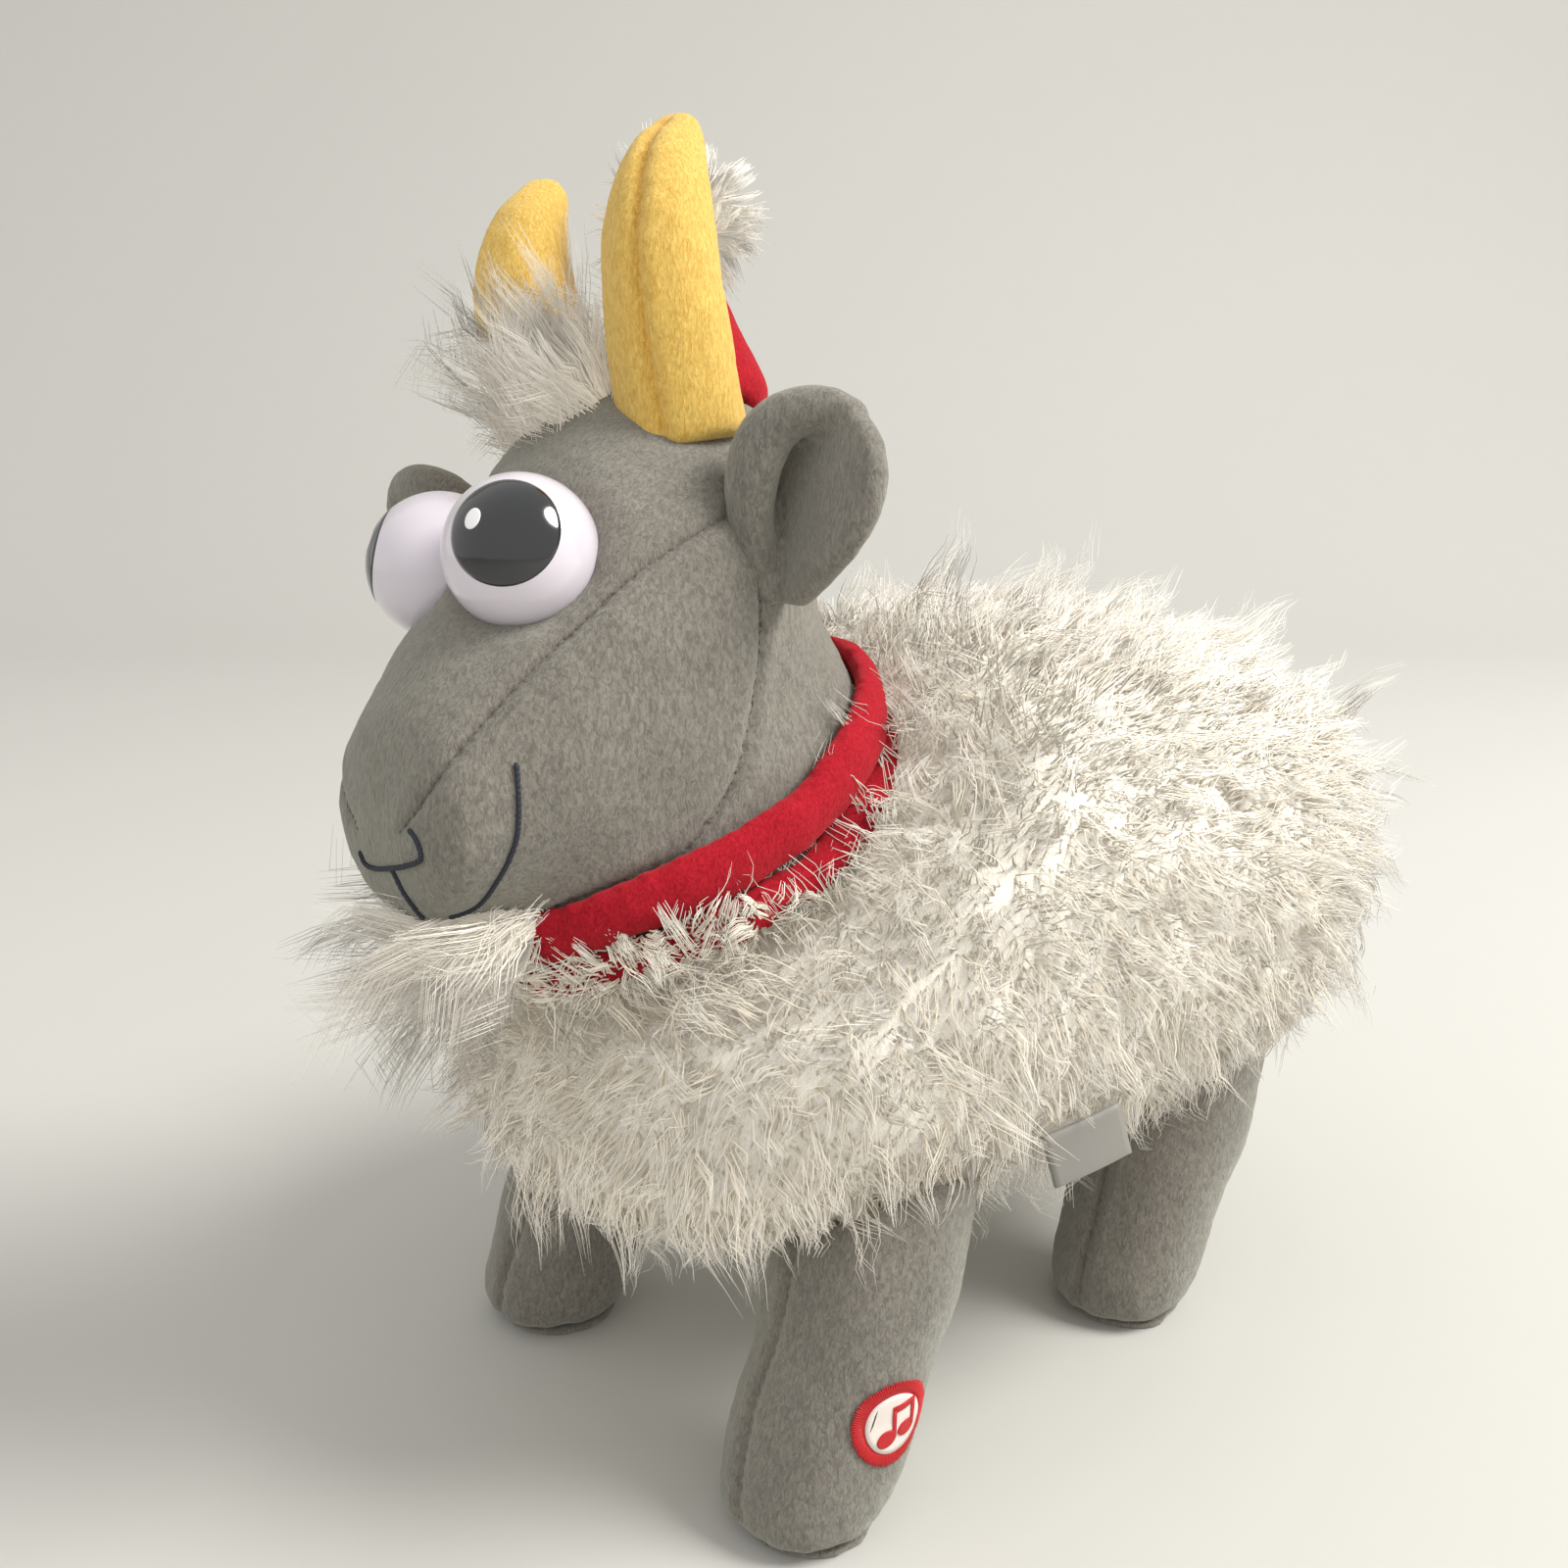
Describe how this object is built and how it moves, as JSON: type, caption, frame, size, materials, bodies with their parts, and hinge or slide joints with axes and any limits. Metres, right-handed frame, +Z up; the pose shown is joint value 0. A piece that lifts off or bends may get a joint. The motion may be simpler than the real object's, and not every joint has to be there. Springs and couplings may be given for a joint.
{
  "type": "musical plush goat",
  "caption": "Standing stuffed goat toy with shag body, big dome eyes, plush horns, scarf and hat, a press badge on a front leg and a sound module in the belly.",
  "frame": {"origin": "on the floor under the middle of the bounding box", "axes": "+Z up, +X towards the goat's left side, -Y the way it looks"},
  "size_m": [0.182, 0.3122, 0.3034],
  "materials": {
    "white_shag": "long-pile shag, matte",
    "grey_plush": "short-pile plush, matte",
    "yellow_plush": "short-pile plush, matte",
    "red_plush": "short-pile plush, matte",
    "red_thread": "satin-stitch embroidery",
    "grey_satin": "woven ribbon",
    "eye_white": "glossy moulded",
    "pupil_black": "glossy moulded",
    "white_nylon": "moulded, fine texture",
    "black_plastic": "moulded",
    "spring_steel": "plain",
    "board_green": "coated laminate",
    "cell_sleeve": "printed sleeve",
    "cone_black": "treated paper",
    "lead_red": "insulated wire"
  },
  "bodies": {
    "goat": {"left_eye": "eye_white", "left_pupil": "pupil_black", "left_eye_washer": "white_nylon", "left_horn": "yellow_plush", "left_ear": "grey_plush", "right_eye": "eye_white", "right_pupil": "pupil_black", "right_eye_washer": "white_nylon", "right_horn": "yellow_plush", "right_ear": "grey_plush", "head": "grey_plush", "forelock": "white_shag", "hat_cone": "red_plush", "hat_pompom": "white_shag", "beard": "white_shag", "scarf_roll": "red_plush", "scarf_layer": "red_plush", "case_body": "white_nylon", "case_cover": "white_nylon", "speaker_frame": "spring_steel", "speaker_cone": "cone_black", "speaker_magnet": "spring_steel", "circuit_board": "board_green", "battery_1": "cell_sleeve", "battery_2": "cell_sleeve", "battery_3": "cell_sleeve", "contact_plate_left": "spring_steel", "contact_plate_right": "spring_steel", "case_screw_1": "spring_steel", "case_screw_2": "spring_steel", "case_screw_3": "spring_steel", "case_screw_4": "spring_steel", "power_switch": "spring_steel", "switch_lead": "lead_red", "body": "white_shag", "front_left_leg": "grey_plush", "front_right_leg": "grey_plush", "front_left_sole": "grey_plush", "front_right_sole": "grey_plush", "rear_left_leg": "grey_plush", "rear_right_leg": "grey_plush", "rear_left_sole": "grey_plush", "rear_right_sole": "grey_plush", "switch_housing": "white_nylon", "contact_board": "board_green", "button_spring": "spring_steel", "tail": "white_shag", "side_tag": "grey_satin"},
    "battery_door": {"battery_door": "white_nylon", "door_screw": "spring_steel"},
    "foot_button": {"button_cap": "black_plastic", "badge": "red_thread"},
    "power_knob": {"power_knob": "black_plastic"}
  },
  "joints": [
    {"name": "battery_door_hinge", "type": "hinge", "parent": "goat", "child": "battery_door", "pos_m": [0, -0.018, 0.0615], "axis": [-1, 0, 0], "range_deg": [0, 75]},
    {"name": "foot_button_press", "type": "slide", "parent": "goat", "child": "foot_button", "axis": [-1, 0, 0], "range_m": [0, 0.002], "stiffness_N_per_m": 600, "deforming": ["button_spring"]},
    {"name": "power_knob_slide", "type": "slide", "parent": "goat", "child": "power_knob", "axis": [1, 0, 0], "range_m": [-0.002, 0.002]}
  ]
}
